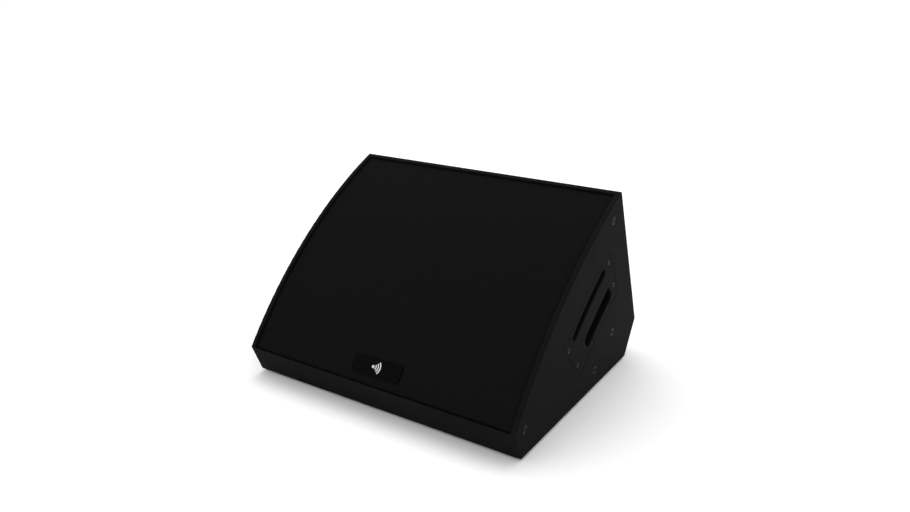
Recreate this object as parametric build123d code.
"""Stage monitor wedge: plywood cabinet with a curved grille and a coaxial driver, in millimetres.

X runs across the cabinet, -Y is the front, +Z is up. The origin is on the floor, under the
middle of the overall box. Profiles are drawn in the Y-Z plane, as (y, z) vectors.
"""
import os
from math import atan2, cos, degrees, radians, sin, tan

from build123d import *

# Cabinet outline
cabinet_width = 590
lip_length = 62.6  # front lip, measured up its slope
lip_lean = 22.3  # degrees from vertical, top edge forward
chord_length = 498.4  # straight line from the lip's top edge to the cabinet's top edge
chord_rise = 38.73  # degrees above horizontal
grille_bulge = 33.5  # the grille arc's height over that chord
rear_length = 325
rear_lean = 22.6  # degrees from vertical
kick_lean = 32.4  # degrees from vertical
corner_round = 2
edge_round = 1.5
foot_height = 5

# Plywood
panel = 18
strip = 9.4  # outer layer that frames the grille
baffle_thickness = 18
baffle_setback = 14  # baffle front below the chord
batten_depth = 12
batten_width = 14
brace_width = 40
brace_from_top = 64

# Grille
rebate_depth = 14
grille_setback = 4
foam_thickness = 6
sheet_thickness = 1.5
gasket_gap = 2.5
grille_gap = 1
ear_width = 27
ear_reach = 11  # ear past its screw
ear_gap = 0.3
pocket_gap = 2
screw_inset = 32  # grille screws below the grille arc
lower_screw_run = 15.2  # along the arc, from the lip
upper_screw_run = 48  # along the arc, from the top edge
screw_radius = 3
cup_washer_radius = 8
cup_washer_depth = 2.2
cup_washer_base = 0.8
grille_head_radius = 5.5
grille_key = 2.3  # corner radius of the hexagon socket
key_depth = 1.2
weld_nut_flats = 10
weld_nut_height = 5

# Badge
badge_width = 106
badge_height = 33
badge_thickness = 2.2
badge_run = 35.5  # along the arc, from the lip to the badge's middle
badge_pin_spacing = 80
badge_pin_radius = 2
badge_clip_radius = 5
badge_clip_height = 1.6

# Side handles
plate_inset = 74.6  # plate's front edge below the grille arc
plate_width = 115
plate_run = 206  # plate's length along its middle
plate_shift = 40  # its middle is this far above the grille's middle
plate_thickness = 6
plate_corner = 9
plate_gap = 0.5
plate_edge_round = 1.2
slot_margin = 14
upper_slot_width = 17
upper_slot_run = 148
upper_slot_shift = 0
web_width = 39
lower_slot_width = 29.5
lower_slot_run = 128
lower_slot_shift = 13
cup_margin = 9
cup_run = 166
cup_depth = 62
cup_wall = 3
cup_flange = 2.5
handle_screw_radius = 2.5
handle_screw_length = 16
handle_head_radius = 4.4
handle_head_sink = 2  # the head's seat below the plate's face
handle_key = 1.8

# Threaded bracket inserts (M10)
insert_bore = 4.25
insert_body = 6
insert_length = 14
insert_flange = 7.5
insert_flange_height = 1.5
rear_insert_place = (366.3, 85.7)  # behind and above the cabinet's lower front edge
lower_insert_place = (290, 35.7)

# Rubber feet
foot_radius = 16
foot_side = 70
foot_front = 60
foot_rear = 60
foot_screw_radius = 2.5
foot_screw_length = 19
foot_taper = 2
foot_head_radius = 4.8
foot_head_seat = 2  # above the floor

# Rear connector dish and sockets
dish_width = 140
dish_height = 100
dish_flange = 2.5
dish_margin = 14
dish_depth = 32
dish_wall = 2
dish_from_top = 212
dish_corner = 8
dish_screw_radius = 2
socket_spacing = 54
socket_flange = 31
socket_flange_height = 2.5
socket_outer = 12
socket_bore = 10.4
socket_post = 4.6
socket_length = 24
socket_screw_spacing = 22
socket_screw_radius = 1.5

# Low-frequency driver, z = 0 on the baffle's front
frame_radius = 194
cutout_radius = 176.5
bolt_circle = 187
bolt_count = 8
bolt_turn = 22.5  # half a step, so that no bolt is at 3 o'clock
gasket_height = 2
frame_height = 5
bolt_radius = 2.5
t_nut_radius = 4
t_nut_length = 8
t_nut_flange = 8.5
t_nut_flange_height = 1.4
throat_radius = 15.5

# Reflex ports
port_radius = 40
port_wall = 3
port_length = 62
port_from_side = 59
port_run = 107  # along the chord, from the lip

# Wadding
wadding_thickness = 20
wadding_half_width = 200
pad_size = (150, 90)
pad_middle = (120, 350)  # across, and behind the lower front edge

# Crossover
board_width = 140
board_depth = 100
board_thickness = 2
standoff_height = 8
standoff_radius = 4
standoff_inset = 8
board_screw_radius = 1.5
board_screw_bite = 8  # into the bottom panel
board_middle = (-145, 358)
wire_radius = 2.5


def across(a, b):
    """Unit vector from a to b."""
    return (b - a).normalized()


def left(d):
    """The direction a quarter turn to the left of d."""
    return Vector(-d.Y, d.X)


def heading(angle):
    return Vector(cos(radians(angle)), sin(radians(angle)))


# Corner points of the side profile
lip_run = lip_length * sin(radians(lip_lean))
half_depth = (chord_length * cos(radians(chord_rise)) + rear_length * sin(radians(rear_lean))) / 2
toe = Vector(lip_run - half_depth, foot_height)
lip_top = toe + lip_length * heading(90 + lip_lean)
top = lip_top + chord_length * heading(chord_rise)
rear = top + rear_length * heading(rear_lean - 90)
heel = Vector(rear.X - (rear.Y - foot_height) * tan(radians(kick_lean)), foot_height)

half_width = cabinet_width / 2
inner_half = half_width - panel
up_chord = heading(chord_rise)
outward = left(up_chord)
arc_radius = (chord_length**2 / 4 + grille_bulge**2) / (2 * grille_bulge)
middle = (lip_top + top) * 0.5
arc_centre = middle - outward * (arc_radius - grille_bulge)
mid_angle = degrees(atan2(outward.Y, outward.X))
lip_dir = across(toe, lip_top)
rear_dir = across(top, rear)
kick_dir = across(rear, heel)
to_centre = across(lip_top, arc_centre)
rear_out = left(rear_dir)
kick_out = left(kick_dir)
floor_top = foot_height + panel
lip_angle = degrees(atan2(-to_centre.Y, -to_centre.X))
top_angle = 2 * mid_angle - lip_angle


def polar(radius, angle):
    """Point at a radius and angle about the grille arc's centre."""
    return arc_centre + heading(angle) * radius


def run_angle(run, radius):
    """Angle that an arc length takes at a radius."""
    return degrees(run / radius)


def world(x, p):
    return (x, p.X, p.Y)


def flat(*points):
    return make_face(Polyline(*[(p.X, p.Y) for p in points], close=True))


def left_of(p, d):
    """Large half plane to the left of the line through p along d."""
    reach = 3000
    n = left(d)
    return flat(p - d * reach, p + d * reach, p + d * reach + n * reach, p - d * reach + n * reach)


def ring(inner, outer):
    """Flat ring about the grille arc's centre."""
    place = Pos(arc_centre.X, arc_centre.Y)
    return place * (Circle(outer) - Circle(inner))


def sector(inner, outer, start, end, corner):
    """Part of that ring between two angles, with rounded corners."""
    centre = (start + end) / 2
    a = polar(inner, start)
    b = polar(inner, centre)
    c = polar(inner, end)
    d = polar(outer, end)
    e = polar(outer, centre)
    f = polar(outer, start)
    edges = ThreePointArc((a.X, a.Y), (b.X, b.Y), (c.X, c.Y))
    edges += Line((c.X, c.Y), (d.X, d.Y))
    edges += ThreePointArc((d.X, d.Y), (e.X, e.Y), (f.X, f.Y))
    edges += Line((f.X, f.Y), (a.X, a.Y))
    face = make_face(edges)
    return fillet(face.vertices(), corner)


def prism(face, low, high):
    """The flat profile pushed along X, from low to high."""
    return Pos(low, 0, 0) * extrude(Plane.YZ * face, high - low)


def rod(x0, x1, p, radius):
    """Round bar along X at profile point p."""
    return prism(Pos(p.X, p.Y) * Circle(radius), x0, x1)


def turned(*points):
    """Solid of revolution about Z from (radius, height) points."""
    return revolve(Plane.XZ * make_face(Polyline(*points, close=True)), Axis.Z)


def tube(inner, outer, low, high):
    return turned((inner, low), (outer, low), (outer, high), (inner, high))


def around(solid, count, start=0):
    """Copies of a solid turned about Z."""
    return [Rot(0, 0, start + 360 * n / count) * solid for n in range(count)]


def joined(solids):
    """A group of separate or touching solids as one part."""
    group = Part()
    for solid in solids:
        group += solid
    return group


def both_sides(solid):
    return [solid, mirror(solid, Plane.YZ)]


# Profiles of the cabinet
arc_top = polar(arc_radius, mid_angle)
outline_edges = Polyline(
    (lip_top.X, lip_top.Y), (toe.X, toe.Y), (heel.X, heel.Y), (rear.X, rear.Y), (top.X, top.Y)
)
outline_edges += ThreePointArc((lip_top.X, lip_top.Y), (arc_top.X, arc_top.Y), (top.X, top.Y))
sharp_outline = make_face(outline_edges)
outline = fillet(sharp_outline.vertices().sort_by(Axis.X)[1:], corner_round)
bottom_side = left_of(Vector(0, floor_top), Vector(-1, 0))
above_bottom = left_of(Vector(0, floor_top), Vector(1, 0))
lip_band = left_of(toe - left(lip_dir) * panel, lip_dir)
rear_band = left_of(top - rear_out * panel, rear_dir)
kick_band = left_of(rear - kick_out * panel, kick_dir)
above_lip = left_of(lip_top, to_centre)
below_grille_end = left_of(lip_top, to_centre * -1)
mitre = (across(rear, top) + across(rear, heel)).normalized()
inside_strip = left_of(top - rear_out * strip, rear_dir * -1)
inside_rear = left_of(top - rear_out * panel, rear_dir * -1)
rebate = ring(arc_radius - rebate_depth, arc_radius + 100) & above_lip & inside_strip


def chord_band(shallow, deep):
    """Strip parallel to the chord, between two depths below it."""
    upper = left_of(lip_top - outward * shallow, up_chord * -1)
    lower = left_of(lip_top - outward * deep, up_chord)
    return upper & lower


baffle_back = baffle_setback + baffle_thickness
lip_profile = outline & lip_band & above_bottom & below_grille_end
rear_profile = (outline & rear_band & left_of(rear, mitre * -1)) - rebate
kick_profile = outline & kick_band & left_of(rear, mitre) & above_bottom
bottom_profile = outline & bottom_side
baffle_profile = outline & chord_band(baffle_setback, baffle_back) & above_lip & inside_rear
cavity = outline & chord_band(baffle_back, 1000) & above_bottom & inside_rear
cavity = cavity - lip_profile - kick_profile
batten_band = chord_band(baffle_back, baffle_back + batten_depth)
top_batten_profile = cavity & batten_band & left_of(
    top - rear_out * (panel + batten_width), rear_dir
)
low_batten_profile = cavity & batten_band & left_of(
    toe - left(lip_dir) * (panel + batten_width), lip_dir
)
side_batten_profile = (cavity & batten_band) - top_batten_profile - low_batten_profile

driver_plane = Plane(
    origin=world(0, middle - outward * baffle_setback), x_dir=(1, 0, 0), z_dir=world(0, outward)
)
rear_plane = Plane(
    origin=world(0, top + rear_dir * dish_from_top), x_dir=(-1, 0, 0), z_dir=world(0, rear_out)
)

# Angles of the grille screws and of the handle
lower_screw = polar(arc_radius - screw_inset, lip_angle - run_angle(lower_screw_run, arc_radius))
upper_screw = polar(arc_radius - screw_inset, top_angle + run_angle(upper_screw_run, arc_radius))
screw_points = [lower_screw, upper_screw]
plate_outer = arc_radius - plate_inset
plate_inner = plate_outer - plate_width
plate_middle = (plate_outer + plate_inner) / 2
plate_angle = mid_angle - run_angle(plate_shift, plate_middle)
insert_points = [toe + Vector(*rear_insert_place), toe + Vector(*lower_insert_place)]
skin = half_width - strip


def handle_face(inner, outer, run, shift, corner):
    """Curved slot or plate outline, its middle shifted up along the arc."""
    centre = plate_angle - run_angle(shift, plate_middle)
    half = run_angle(run, plate_middle) / 2
    return sector(inner, outer, centre - half, centre + half, corner)


upper_slot_outer = plate_outer - slot_margin
upper_slot_inner = upper_slot_outer - upper_slot_width
lower_slot_outer = upper_slot_inner - web_width
lower_slot_inner = lower_slot_outer - lower_slot_width
plate_face = handle_face(plate_inner, plate_outer, plate_run, 0, plate_corner)
upper_slot = handle_face(
    upper_slot_inner, upper_slot_outer, upper_slot_run, upper_slot_shift, upper_slot_width / 2 - 0.5
)
lower_slot = handle_face(
    lower_slot_inner, lower_slot_outer, lower_slot_run, lower_slot_shift, lower_slot_width / 3
)


def cup_face(grow):
    return handle_face(
        plate_inner + cup_margin - grow, plate_outer - cup_margin + grow,
        cup_run + 2 * grow, 0, plate_corner + grow,
    )


screw_half = run_angle((plate_run + cup_run + 2 * cup_wall) / 4, plate_middle)
handle_screw_points = [
    polar(radius, plate_angle + side * screw_half)
    for radius in ((upper_slot_inner + upper_slot_outer) / 2, (lower_slot_inner + lower_slot_outer) / 2)
    for side in (-1, 1)
]
flange_back = half_width - plate_thickness - cup_flange


def ear_face(p, width, deep):
    """Radial tab outline round a grille screw, from beyond the arc to a depth below it."""
    r = across(p, arc_centre)
    side = left(r) * (width / 2)
    high = p - r * 60
    low = p + r * (deep - screw_inset)
    return flat(high - side, low - side, low + side, high + side) & above_lip


def side_panel():
    body = prism(outline, inner_half, half_width)
    outer_edges = body.faces().sort_by(Axis.X)[-1].edges()
    body = fillet(outer_edges, edge_round)
    body -= prism(rebate, inner_half, skin)
    for p in screw_points:
        pocket = ear_face(p, ear_width + 2 * pocket_gap, screw_inset + ear_reach + pocket_gap)
        body -= prism(pocket & outline & inside_strip, inner_half, skin)
        body -= rod(inner_half, half_width, p, screw_radius)
        body -= rod(half_width - cup_washer_depth, half_width + 1, p, cup_washer_radius)
    flush = offset(plate_face, plate_gap)
    body -= prism(flush, flange_back, half_width + 1)
    body -= prism(cup_face(cup_wall), inner_half - 1, half_width)
    for p in handle_screw_points:
        body -= rod(half_width - handle_screw_length - 0.5, half_width, p, handle_screw_radius)
    for p in insert_points:
        body -= rod(half_width - insert_flange_height, half_width + 1, p, insert_flange)
        body -= rod(half_width - insert_length - insert_flange_height, half_width, p, insert_body)
    return body


def bottom_panel():
    body = prism(bottom_profile, -inner_half, inner_half)
    for spot in foot_spots():
        body -= Pos(spot.X, spot.Y, 0) * Cylinder(foot_screw_radius, 2 * foot_screw_length)
    for x, y in standoff_spots():
        body -= Pos(x, y, floor_top) * Cylinder(board_screw_radius, 2 * board_screw_bite)
    return body


def plain_panel(profile):
    return prism(profile, -inner_half, inner_half)


def rear_panel():
    body = plain_panel(rear_profile)
    recess = extrude(RectangleRounded(dish_width, dish_height, dish_corner), -dish_flange)
    well = extrude(
        RectangleRounded(dish_width - 2 * dish_margin, dish_height - 2 * dish_margin, dish_corner),
        -2 * panel,
    )
    body -= rear_plane * recess
    body -= rear_plane * well
    for x, y in dish_screw_spots():
        body -= rear_plane * Pos(x, y, -7) * Cylinder(dish_screw_radius, 14)
    return body


def baffle_board():
    body = plain_panel(baffle_profile)
    body -= driver_plane * Cylinder(cutout_radius, 3 * baffle_thickness)
    for place in port_places():
        body -= place * Cylinder(port_radius + port_wall, 3 * baffle_thickness)
    for hole in around(Pos(bolt_circle, 0, 0) * Cylinder(bolt_radius, 60), bolt_count, bolt_turn):
        body -= driver_plane * hole
    sleeve = Pos(bolt_circle, 0, t_nut_length / 2 - baffle_thickness) * Cylinder(
        t_nut_radius, t_nut_length
    )
    for nut in around(sleeve, bolt_count, bolt_turn):
        body -= driver_plane * nut
    return body


def baffle_battens():
    battens = [plain_panel(top_batten_profile), plain_panel(low_batten_profile)]
    battens += both_sides(prism(side_batten_profile, inner_half - batten_width, inner_half))
    return joined(battens)


def rear_brace():
    low = top + rear_dir * (brace_from_top + brace_width) - rear_out * (2 * panel)
    high = low - rear_dir * brace_width
    out = rear_out * panel
    return prism(flat(low, low + out, high + out, high), -inner_half, inner_half)


def damping_wadding():
    """Soft lining slabs: behind the driver on the rear panel, and on the floor."""
    low = top + rear_dir * (dish_from_top - dish_height / 2 - 6) - rear_out * panel
    high = top + rear_dir * (brace_from_top + brace_width + 4) - rear_out * panel
    inward = rear_out * -wadding_thickness
    profile = flat(low, low + inward, high + inward, high)
    slab = prism(profile, -wadding_half_width, wadding_half_width)
    x, y = pad_middle
    pad = Pos(x, toe.X + y, floor_top + wadding_thickness / 2) * Box(*pad_size, wadding_thickness)
    return joined([slab, pad])


def grille_profile(inner, outer, gap):
    end = left_of(lip_top + left(to_centre) * gap, to_centre)
    high = left_of(top - rear_out * (strip + gap), rear_dir * -1)
    return ring(inner, outer) & end & high & sharp_outline


def badge_plane():
    angle = lip_angle - run_angle(badge_run, arc_radius)
    origin = polar(arc_radius - grille_setback, angle)
    return Plane(origin=world(0, origin), x_dir=(1, 0, 0), z_dir=world(0, heading(angle)))


def badge_pins(radius, low, high):
    pin = Pos(0, 0, (low + high) / 2) * Cylinder(radius, high - low)
    return [badge_plane() * Pos(side * badge_pin_spacing / 2, 0, 0) * pin for side in (-1, 1)]


def grille_foam():
    outer = arc_radius - grille_setback
    body = prism(grille_profile(outer - foam_thickness, outer, grille_gap), -grille_half, grille_half)
    for pin in badge_pins(badge_pin_radius, -20, 5):
        body -= pin
    return body


grille_half = skin - grille_gap
sheet_outer = arc_radius - grille_setback - foam_thickness
sheet_inner = sheet_outer - sheet_thickness
ear_out = skin - ear_gap
ear_in = ear_out - sheet_thickness


def grille_sheet():
    """Curved steel sheet, with four ears folded back beside the side panels."""
    body = prism(grille_profile(sheet_inner, sheet_outer, grille_gap), -ear_out, ear_out)
    ears = Part()
    for p in screw_points:
        tab = ear_face(p, ear_width, screw_inset + ear_reach)
        tab = tab & grille_profile(sheet_outer - 80, sheet_inner, grille_gap)
        ear = prism(tab, ear_in, ear_out) - rod(ear_in, ear_out, p, screw_radius)
        ears += ear
    body = body + ears + mirror(ears, Plane.YZ)
    for pin in badge_pins(badge_pin_radius, -20, 5):
        body -= pin
    return body


def grille_gaskets():
    """Foam tape between the sheet's edges and the rebates."""
    profile = grille_profile(sheet_inner - gasket_gap, sheet_inner, grille_gap)
    return joined(both_sides(prism(profile, inner_half + 0.5, ear_in - 1)))


def grille_screws():
    solids = []
    for p in screw_points:
        seat = half_width - cup_washer_depth + cup_washer_base
        hexagon = Pos(p.X, p.Y) * RegularPolygon(grille_key, 6)
        head = rod(seat, half_width, p, grille_head_radius)
        shank = rod(inner_half + 0.5, seat, p, screw_radius)
        socket = prism(hexagon, half_width - key_depth, half_width + 1)
        solids += both_sides(head + shank - socket)
    return joined(solids)


def grille_cup_washers():
    solids = []
    for p in screw_points:
        cup = rod(half_width - cup_washer_depth, half_width, p, cup_washer_radius)
        seat = half_width - cup_washer_depth + cup_washer_base
        cup -= rod(seat, half_width + 1, p, grille_head_radius)
        cup -= rod(half_width - cup_washer_depth, half_width, p, screw_radius)
        solids += both_sides(cup)
    return joined(solids)


def grille_weld_nuts():
    solids = []
    for p in screw_points:
        hexagon = Pos(p.X, p.Y) * RegularPolygon(weld_nut_flats / 2, 6, major_radius=False)
        nut = prism(hexagon, ear_in - weld_nut_height, ear_in)
        nut -= rod(inner_half - 1, half_width, p, screw_radius)
        solids += both_sides(nut)
    return joined(solids)


def badge_plate():
    plate = extrude(RectangleRounded(badge_width, badge_height, 2), badge_thickness)
    rim = plate.faces().sort_by(Axis.Z)[-1].edges()
    plate = badge_plane() * chamfer(rim, 0.6)
    low = grille_setback - foam_thickness - sheet_thickness - 6
    for pin in badge_pins(badge_pin_radius, low, 0):
        plate += pin
    return plate


def badge_clips():
    back = -foam_thickness - sheet_thickness - 0.05
    clip = tube(badge_pin_radius, badge_clip_radius, back - badge_clip_height, back)
    return joined([badge_plane() * Pos(s * badge_pin_spacing / 2, 0, 0) * clip for s in (-1, 1)])


def handle_plate():
    body = prism(plate_face, half_width - plate_thickness, half_width)
    body -= prism(upper_slot, half_width - plate_thickness - 1, half_width + 1)
    body -= prism(lower_slot, half_width - plate_thickness - 1, half_width + 1)
    outer_edges = body.faces().sort_by(Axis.X)[-1].edges()
    body = fillet(outer_edges, plate_edge_round)
    for p in handle_screw_points:
        body -= rod(half_width - plate_thickness, half_width, p, handle_screw_radius)
        body -= rod(half_width - handle_head_sink, half_width + 1, p, handle_head_radius + 0.2)
    return body


def handle_cup():
    """Deep tub behind the plate, with a flange clamped under it."""
    deep = half_width - cup_depth
    front = half_width - plate_thickness
    body = prism(cup_face(cup_wall), deep, front) - prism(cup_face(0), deep + cup_wall, front)
    flange = prism(plate_face, flange_back, front) - prism(cup_face(0), flange_back, front)
    body += flange
    for p in handle_screw_points:
        body -= rod(flange_back, front, p, handle_screw_radius)
    return body


def handle_screws():
    solids = []
    for p in handle_screw_points:
        seat = half_width - handle_head_sink
        hexagon = Pos(p.X, p.Y) * RegularPolygon(handle_key, 6)
        head = rod(seat, half_width - 0.2, p, handle_head_radius)
        shank = rod(half_width - handle_screw_length, seat, p, handle_screw_radius)
        socket = prism(hexagon, half_width - 0.2 - key_depth, half_width + 1)
        solids += both_sides(head + shank - socket)
    return joined(solids)


def bracket_inserts():
    solids = []
    for p in insert_points:
        sleeve = rod(half_width - insert_length - insert_flange_height, half_width, p, insert_body)
        flange = rod(half_width - insert_flange_height, half_width - 0.3, p, insert_flange)
        bore = rod(half_width - 40, half_width + 1, p, insert_bore)
        solids += both_sides(sleeve + flange - bore)
    return joined(solids)


def foot_spots():
    """Middle of each foot, left and right, front and rear."""
    rows = (toe.X + foot_front, heel.X - foot_rear)
    return [Vector(side * (half_width - foot_side), y) for y in rows for side in (-1, 1)]


def rubber_feet():
    profile = turned(
        (foot_screw_radius, foot_height), (foot_radius, foot_height), (foot_radius - foot_taper, 0),
        (5, 0), (5, foot_head_seat), (foot_screw_radius, foot_head_seat),
    )
    return joined([Pos(spot.X, spot.Y, 0) * profile for spot in foot_spots()])


def foot_screws():
    shape = turned(
        (0, 0.6), (foot_head_radius, 0.6), (foot_head_radius, foot_head_seat),
        (foot_screw_radius, foot_head_seat), (foot_screw_radius, foot_screw_length),
        (0, foot_screw_length),
    )
    return joined([Pos(spot.X, spot.Y, 0) * shape for spot in foot_spots()])


def dish_screw_spots():
    x = dish_width / 2 - dish_margin / 2
    y = dish_height / 2 - dish_margin / 2
    return [(sx * x, sy * y) for sx in (-1, 1) for sy in (-1, 1)]


def socket_spots():
    return [(-socket_spacing / 2, 0), (socket_spacing / 2, 0)]


def socket_screw_spots():
    spots = []
    for x, y in socket_spots():
        half = socket_screw_spacing / 2
        spots += [(x - half, y + half), (x + half, y - half)]
    return spots


def connector_dish():
    """Pressed steel dish let into the rear panel."""
    width = dish_width - 2 * dish_margin
    height = dish_height - 2 * dish_margin
    outer = extrude(RectangleRounded(width, height, dish_corner), -dish_depth)
    body = outer + extrude(
        RectangleRounded(dish_width, dish_height, dish_corner), -dish_flange
    )
    body -= extrude(
        RectangleRounded(width - 2 * dish_wall, height - 2 * dish_wall, dish_corner - dish_wall),
        -(dish_depth - dish_wall),
    )
    for x, y in dish_screw_spots():
        body -= Pos(x, y, 0) * Cylinder(dish_screw_radius, 20)
    for x, y in socket_spots():
        body -= Pos(x, y, -dish_depth) * Cylinder(socket_outer, 20)
    for x, y in socket_screw_spots():
        body -= Pos(x, y, -dish_depth) * Cylinder(socket_screw_radius, 20)
    return rear_plane * body


def dish_floor():
    return -(dish_depth - dish_wall)


def dish_screws():
    head = Pos(0, 0, 0.9) * Cylinder(3.6, 1.8)
    shank = Pos(0, 0, -6.5) * Cylinder(dish_screw_radius, 13)
    socket = extrude(RegularPolygon(1.5, 6), 3)
    socket = Pos(0, 0, 0.8) * socket
    screw = head + shank - socket
    return joined([rear_plane * Pos(x, y, 0) * screw for x, y in dish_screw_spots()])


def speaker_socket(x, y):
    """Round twist-lock socket with a square flange, a centre post and two keyways."""
    floor = dish_floor()
    flange = extrude(RectangleRounded(socket_flange, socket_flange, 4), socket_flange_height)
    barrel = Pos(0, 0, -(socket_length - socket_flange_height) / 2) * Cylinder(
        socket_outer, socket_length - socket_flange_height
    )
    body = flange + barrel
    base = 3
    depth = socket_length - base
    mouth = tube(socket_post, socket_bore, socket_flange_height - depth, socket_flange_height + 1)
    body -= mouth
    for side in (-1, 1):
        key = Pos(side * socket_bore, 0, socket_flange_height - depth / 2) * Box(2.4, 4, depth)
        body -= key
    half = socket_screw_spacing / 2
    for sx, sy in ((-half, half), (half, -half)):
        body -= Pos(sx, sy, 0) * Cylinder(socket_screw_radius, 20)
    return rear_plane * Pos(x, y, floor) * body


def socket_screws():
    head = Pos(0, 0, socket_flange_height + 0.8) * Cylinder(2.7, 1.6)
    shank = Pos(0, 0, (socket_flange_height - 8) / 2) * Cylinder(
        socket_screw_radius, socket_flange_height + 8
    )
    screw = head + shank
    return joined(
        [rear_plane * Pos(x, y, dish_floor()) * screw for x, y in socket_screw_spots()]
    )


# Low-frequency half of the driver: heights below the baffle's front
cup_top = -74
plate_top = -80
magnet_top = -90
magnet_bottom = -112
yoke_bottom = -122
pole_radius = 36.8
gap_radius = 39.6
frame_top = gasket_height + frame_height
cone_edge = 148
cone_edge_height = 6
neck_radius = 38
neck_height = -52
former_above_neck = 2.5
paper = 1.2
running_gap = 0.3


def woofer_rear_gasket():
    body = tube(cutout_radius, frame_radius, 0, gasket_height)
    for hole in around(Pos(bolt_circle, 0, 0) * Cylinder(bolt_radius, 20), bolt_count, bolt_turn):
        body -= hole
    return driver_plane * body


def woofer_basket():
    body = turned(
        (168, frame_top), (frame_radius, frame_top), (frame_radius, gasket_height),
        (174, gasket_height), (174, -8), (99, cup_top), (99, plate_top), (52, plate_top),
        (52, cup_top), (86, cup_top), (86, -66), (95, -66), (168, -4),
    )
    window = Plane.XY * make_face(
        Polyline((104, -30), (160, -44), (160, 44), (104, 30), close=True)
    )
    window = Pos(0, 0, cup_top + 3) * extrude(window, 62)
    for hole in around(window, 6):
        body -= hole
    for hole in around(Pos(bolt_circle, 0, 0) * Cylinder(bolt_radius, 20), bolt_count, bolt_turn):
        body -= hole
    return driver_plane * body


def woofer_bolts():
    """Button-head bolts through the frame and the baffle."""
    head = Pos(0, 0, frame_top + 1.5) * Cylinder(5, 3)
    shank = Pos(0, 0, (frame_top - baffle_thickness) / 2) * Cylinder(
        bolt_radius, frame_top + baffle_thickness
    )
    socket = Pos(0, 0, frame_top + 1.2) * extrude(RegularPolygon(1.9, 6), 3)
    bolt = Pos(bolt_circle, 0, 0) * (head + shank - socket)
    return driver_plane * joined(around(bolt, bolt_count, bolt_turn))


def woofer_t_nuts():
    back = -baffle_thickness
    sleeve = tube(bolt_radius, t_nut_radius, back, back + t_nut_length)
    flange = tube(bolt_radius, t_nut_flange, back - t_nut_flange_height, back)
    nut = Pos(bolt_circle, 0, 0) * (sleeve + flange)
    return driver_plane * joined(around(nut, bolt_count, bolt_turn))


def woofer_cone():
    """Curved paper cone, glued round the coil former's top."""
    inner = (neck_radius, neck_height)
    mid = (88, -27)
    outer = (cone_edge, cone_edge_height)
    lower = ThreePointArc(inner, mid, outer)
    upper = ThreePointArc(
        (inner[0], inner[1] + paper), (mid[0], mid[1] + paper), (outer[0], outer[1] + paper)
    )
    sides = Line(inner, (inner[0], inner[1] + paper))
    sides += Line(outer, (outer[0], outer[1] + paper))
    face = make_face(lower + upper + sides)
    return driver_plane * revolve(Plane.XZ * face, Axis.Z)


def woofer_surround():
    """Half-roll of treated cloth from the cone's edge to the frame."""
    inner = cone_edge + running_gap
    roll = 8.6
    skin_thickness = 0.8
    centre = inner + 1.5 + roll
    low = frame_top
    high = low + skin_thickness
    outer_radius = roll + skin_thickness
    face = make_face(
        Polyline((inner, low), (inner + 1.5 - skin_thickness + 0.8, low))
        + ThreePointArc((inner + 1.5, low), (centre, low + roll), (centre + roll, low))
        + Polyline((centre + roll, low), (180, low), (180, high), (centre + outer_radius, high))
        + ThreePointArc(
            (centre + outer_radius, high),
            (centre, low + outer_radius),
            (centre - outer_radius + 0.1, high),
        )
        + Polyline((centre - outer_radius + 0.1, high), (inner, high), (inner, low))
    )
    return driver_plane * revolve(Plane.XZ * face, Axis.Z)


def woofer_clamp_ring():
    return driver_plane * tube(171, 180, frame_top + 0.8, frame_top + 4)


def woofer_spider():
    """Corrugated cloth disc from the former to the basket's ledge."""
    inner = neck_radius + running_gap
    ledge = -66
    waves = 8
    start = 44
    step = (84 - start) / waves
    lower = [(inner, ledge)]
    for n in range(waves + 1):
        lower.append((start + n * step, ledge + (1.6 if n % 2 else 0)))
    lower.append((95, ledge))
    upper = [(r, z + 0.6) for r, z in reversed(lower)]
    return driver_plane * turned(*lower, *upper)


def voice_coil():
    former = tube(neck_radius - 0.6, neck_radius, -100, neck_height + former_above_neck)
    winding = tube(neck_radius, neck_radius + 0.9, -97, -75)
    return driver_plane * (former + winding)


def woofer_top_plate():
    return driver_plane * tube(gap_radius, 82, magnet_top, plate_top)


def woofer_magnet():
    return driver_plane * tube(52, 86, magnet_bottom, magnet_top)


def woofer_yoke():
    pole = throat_radius + 2.5
    body = turned(
        (pole, yoke_bottom), (82, yoke_bottom), (82, magnet_bottom),
        (pole_radius, magnet_bottom), (pole_radius, -78), (pole, -78),
    )
    for hole in hf_bolt_holes(hf_bolt_radius):
        body -= hole
    return driver_plane * body


# High-frequency half: behind the yoke
hf_plate_back = yoke_bottom - 10
hf_magnet_back = hf_plate_back - 18
hf_gap_back = hf_magnet_back - 7
dome_radius = 40.8
dome_centre = -126
hf_bolt_circle = 53
hf_bolt_radius = 2.5
hf_bolt_turn = 45


def hf_bolt_holes(radius):
    middle_height = (hf_plate_back + magnet_bottom) / 2
    hole = Pos(hf_bolt_circle, 0, middle_height) * Cylinder(radius, 40)
    return around(hole, 4, hf_bolt_turn)


def hf_horn():
    """Flare on the driver's axis, standing on a tube through the pole."""
    r = throat_radius
    inner = [(r, -80), (18, -66), (23, -54), (31, -43), (42, -33), (53, -26), (62, -21)]
    outer = [(x + 1.8, z - 1.8) for x, z in reversed(inner[1:])] + [(r + 2.5, -77)]
    face = make_face(
        Line((r, yoke_bottom), inner[0])
        + Spline(*inner)
        + Line(inner[-1], outer[0])
        + Spline(*outer)
        + Polyline(outer[-1], (r + 2.5, yoke_bottom), (r, yoke_bottom))
    )
    return driver_plane * revolve(Plane.XZ * face, Axis.Z)


def hf_front_plate():
    body = tube(throat_radius, 59, hf_plate_back, yoke_bottom)
    for hole in hf_bolt_holes(hf_bolt_radius):
        body -= hole
    return driver_plane * body


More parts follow.
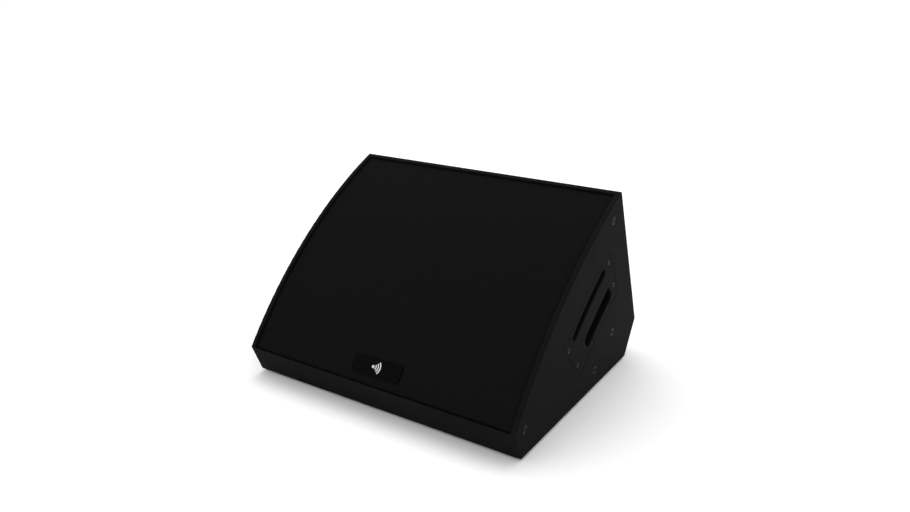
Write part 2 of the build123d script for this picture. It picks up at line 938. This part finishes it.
def hf_bolts():
    length = magnet_bottom - hf_plate_back - 1
    shank = Pos(0, 0, hf_plate_back + length / 2) * Cylinder(hf_bolt_radius, length)
    head = Pos(0, 0, hf_plate_back - 2) * Cylinder(4.2, 4)
    return driver_plane * joined(around(Pos(hf_bolt_circle, 0, 0) * (shank + head), 4, hf_bolt_turn))


def hf_magnet():
    return driver_plane * tube(34, 48, hf_magnet_back, hf_plate_back)


def hf_top_plate():
    return driver_plane * tube(27.6, 48, hf_gap_back, hf_magnet_back)


def hf_phase_plug():
    """Pole piece with the throat through it and a domed face under the diaphragm."""
    cap = 40
    edge_z = dome_centre - (cap**2 - 24**2) ** 0.5
    hole_z = dome_centre - (cap**2 - 8**2) ** 0.5
    mid_z = dome_centre - (cap**2 - 17**2) ** 0.5
    face = make_face(
        Polyline((8, hole_z), (throat_radius, hf_plate_back), (26, hf_plate_back),
                 (26, hf_gap_back + 0.5), (24, edge_z))
        + ThreePointArc((24, edge_z), (17, mid_z), (8, hole_z))
    )
    return driver_plane * revolve(Plane.XZ * face, Axis.Z)


def hf_diaphragm():
    """Thin metal dome with its coil."""
    inner_r = dome_radius
    outer_r = dome_radius + 0.4
    coil_in = 26.4
    coil_out = 27.2

    def height(radius, r):
        return dome_centre - (radius**2 - r**2) ** 0.5

    face = make_face(
        ThreePointArc((0, height(inner_r, 0)), (14, height(inner_r, 14)),
                      (coil_in, height(inner_r, coil_in)))
        + Polyline((coil_in, height(inner_r, coil_in)), (coil_in, hf_magnet_back - 1),
                   (coil_out, hf_magnet_back - 1), (coil_out, height(outer_r, coil_out)))
        + ThreePointArc((coil_out, height(outer_r, coil_out)), (14, height(outer_r, 14)),
                        (0, height(outer_r, 0)))
        + Line((0, height(outer_r, 0)), (0, height(inner_r, 0)))
    )
    return driver_plane * revolve(Plane.XZ * face, Axis.Z)


def hf_suspension():
    return driver_plane * tube(27.5, 36, hf_gap_back - 0.5, hf_gap_back)


def hf_clamp_ring():
    return driver_plane * tube(36, 44.5, hf_gap_back - 3, hf_gap_back)


def hf_rear_cap():
    back = hf_gap_back - 28
    return driver_plane * turned(
        (48, hf_gap_back), (45, hf_gap_back), (45, back + 3), (0, back + 3), (0, back),
        (46, back), (48, back + 2),
    )


def port_places():
    """Plane at each port's mouth, on the baffle's front."""
    p = lip_top + up_chord * port_run - outward * baffle_setback
    x = inner_half - port_from_side
    return [
        Plane(origin=world(side * x, p), x_dir=(1, 0, 0), z_dir=world(0, outward))
        for side in (-1, 1)
    ]


def port_tube(place):
    return place * tube(port_radius, port_radius + port_wall, -port_length, 0)


def standoff_spots():
    x0, y0 = board_middle
    dx = board_width / 2 - standoff_inset
    dy = board_depth / 2 - standoff_inset
    return [(x0 + sx * dx, toe.X + y0 + sy * dy) for sx in (-1, 1) for sy in (-1, 1)]


board_top = floor_top + standoff_height + board_thickness


def crossover_board():
    x0, y0 = board_middle
    centre = Pos(x0, toe.X + y0, board_top - board_thickness / 2)
    body = centre * Box(board_width, board_depth, board_thickness)
    for x, y in standoff_spots():
        body -= Pos(x, y, board_top) * Cylinder(board_screw_radius, 20)
    return body


def crossover_standoffs():
    post = tube(board_screw_radius, standoff_radius, 0, standoff_height)
    return joined([Pos(x, y, floor_top) * post for x, y in standoff_spots()])


def crossover_screws():
    length = standoff_height + board_thickness + board_screw_bite
    head = Pos(0, 0, 1) * Cylinder(3, 2)
    shank = Pos(0, 0, -length / 2) * Cylinder(board_screw_radius, length)
    return joined([Pos(x, y, board_top) * (head + shank) for x, y in standoff_spots()])


def on_board(dx, dy):
    x0, y0 = board_middle
    return Pos(x0 + dx, toe.X + y0 + dy, board_top)


def crossover_coils():
    """Two wire-wound coils, one lying flat and one on edge."""
    flat_coil = tube(9, 24, 0, 20)
    small_coil = tube(7, 17, -8, 8)
    upright = on_board(-20, -22) * Pos(0, 0, 17) * Rot(90, 0, 0) * small_coil
    return joined([on_board(30, 15) * flat_coil, upright])


def crossover_capacitors():
    can = Cylinder(8, 34)
    return joined(
        [on_board(-45 + n * 19, 22) * Pos(0, 0, 8) * Rot(90, 0, 0) * can for n in range(3)]
    )


def crossover_resistors():
    block = Box(40, 9, 9)
    return joined([on_board(20 + n * 2, -20 - n * 14) * Pos(0, 0, 4.5) * block for n in range(2)])


def loom(*points):
    """Round cable along straight runs with bends between them."""
    runs = [Vector(*p) for p in points]
    radii = []
    for a, b, c in zip(runs, runs[1:], runs[2:]):
        turn = radians((b - a).get_angle(c - b))
        shorter = min((b - a).length, (c - b).length)
        radii.append(0.45 * shorter / tan(turn / 2))
    path = FilletPolyline(*points, radius=radii)
    start = Plane(origin=points[0], z_dir=runs[1] - runs[0])
    return sweep(start * Circle(wire_radius), path=path)


def rear_point(x, y, z):
    """A point given on the rear connector plane."""
    return tuple(rear_plane.from_local_coords((x, y, z)))


def driver_point(x, y, z):
    return tuple(driver_plane.from_local_coords((x, y, z)))


def input_loom():
    """From a socket's rear down to the crossover board."""
    back = dish_floor() - (socket_length - socket_flange_height)
    end = (board_middle[0] + 60, toe.X + board_middle[1] + 26, board_top)
    return loom(
        rear_point(socket_spacing / 2, 0, back),
        rear_point(socket_spacing / 2, 0, back - 20),
        rear_point(socket_spacing / 2 + 24, -22, back - 32),
        (end[0], end[1], end[2] + 26),
        end,
    )


def woofer_loom():
    """From the crossover board up to the woofer's terminals on the basket."""
    start = (board_middle[0] - 55, toe.X + board_middle[1] - 24, board_top)
    return loom(
        start,
        (start[0], start[1], start[2] + 30),
        (start[0] + 6, start[1] - 40, start[2] + 62),
        driver_point(-176, -30, -74),
        driver_point(-168, -14, -44),
    )


def hf_loom():
    """From the crossover board to the back of the high-frequency driver's cap."""
    back = hf_gap_back - 28
    start = (board_middle[0] + 55, toe.X + board_middle[1] - 36, board_top)
    return loom(
        start,
        (start[0], start[1], start[2] + 14),
        driver_point(-36, 6, back - 18),
        driver_point(-20, 10, back - 18),
        driver_point(-20, 10, back),
    )


right_plate = handle_plate()
right_cup = handle_cup()
right_panel = side_panel()
ports = [port_tube(place) for place in port_places()]
sockets = [speaker_socket(x, y) for x, y in socket_spots()]

nodes = {
    "side_panel_right": right_panel,
    "side_panel_left": mirror(right_panel, Plane.YZ),
    "bottom_panel": bottom_panel(),
    "front_lip": plain_panel(lip_profile),
    "rear_panel": rear_panel(),
    "rear_kick_panel": plain_panel(kick_profile),
    "baffle_board": baffle_board(),
    "baffle_battens": baffle_battens(),
    "rear_brace": rear_brace(),
    "damping_wadding": damping_wadding(),
    "grille_foam": grille_foam(),
    "grille_sheet": grille_sheet(),
    "grille_gaskets": grille_gaskets(),
    "grille_screws": grille_screws(),
    "grille_cup_washers": grille_cup_washers(),
    "grille_weld_nuts": grille_weld_nuts(),
    "badge_plate": badge_plate(),
    "badge_clips": badge_clips(),
    "handle_plate_right": right_plate,
    "handle_plate_left": mirror(right_plate, Plane.YZ),
    "handle_cup_right": right_cup,
    "handle_cup_left": mirror(right_cup, Plane.YZ),
    "handle_screws": handle_screws(),
    "bracket_inserts": bracket_inserts(),
    "rubber_feet": rubber_feet(),
    "foot_screws": foot_screws(),
    "connector_dish": connector_dish(),
    "dish_screws": dish_screws(),
    "input_socket": sockets[0],
    "link_socket": sockets[1],
    "socket_screws": socket_screws(),
    "woofer_rear_gasket": woofer_rear_gasket(),
    "woofer_basket": woofer_basket(),
    "woofer_bolts": woofer_bolts(),
    "woofer_t_nuts": woofer_t_nuts(),
    "woofer_clamp_ring": woofer_clamp_ring(),
    "woofer_surround": woofer_surround(),
    "woofer_cone": woofer_cone(),
    "woofer_spider": woofer_spider(),
    "voice_coil": voice_coil(),
    "woofer_top_plate": woofer_top_plate(),
    "woofer_magnet": woofer_magnet(),
    "woofer_yoke": woofer_yoke(),
    "hf_horn": hf_horn(),
    "hf_front_plate": hf_front_plate(),
    "hf_bolts": hf_bolts(),
    "hf_magnet": hf_magnet(),
    "hf_top_plate": hf_top_plate(),
    "hf_phase_plug": hf_phase_plug(),
    "hf_diaphragm": hf_diaphragm(),
    "hf_suspension": hf_suspension(),
    "hf_clamp_ring": hf_clamp_ring(),
    "hf_rear_cap": hf_rear_cap(),
    "port_tube_left": ports[0],
    "port_tube_right": ports[1],
    "crossover_board": crossover_board(),
    "crossover_parts": joined([crossover_coils(), crossover_capacitors(), crossover_resistors()]),
    "crossover_standoffs": crossover_standoffs(),
    "crossover_screws": crossover_screws(),
    "wiring_loom": joined([input_loom(), woofer_loom(), hf_loom()]),
}

os.makedirs("parts", exist_ok=True)
for name, solid in nodes.items():
    export_step(solid, f"parts/{name}.step")
print(f"{len(nodes)} nodes")
print(f"depth {2 * half_depth:.1f}, height {top.Y:.1f}, width {cabinet_width}")
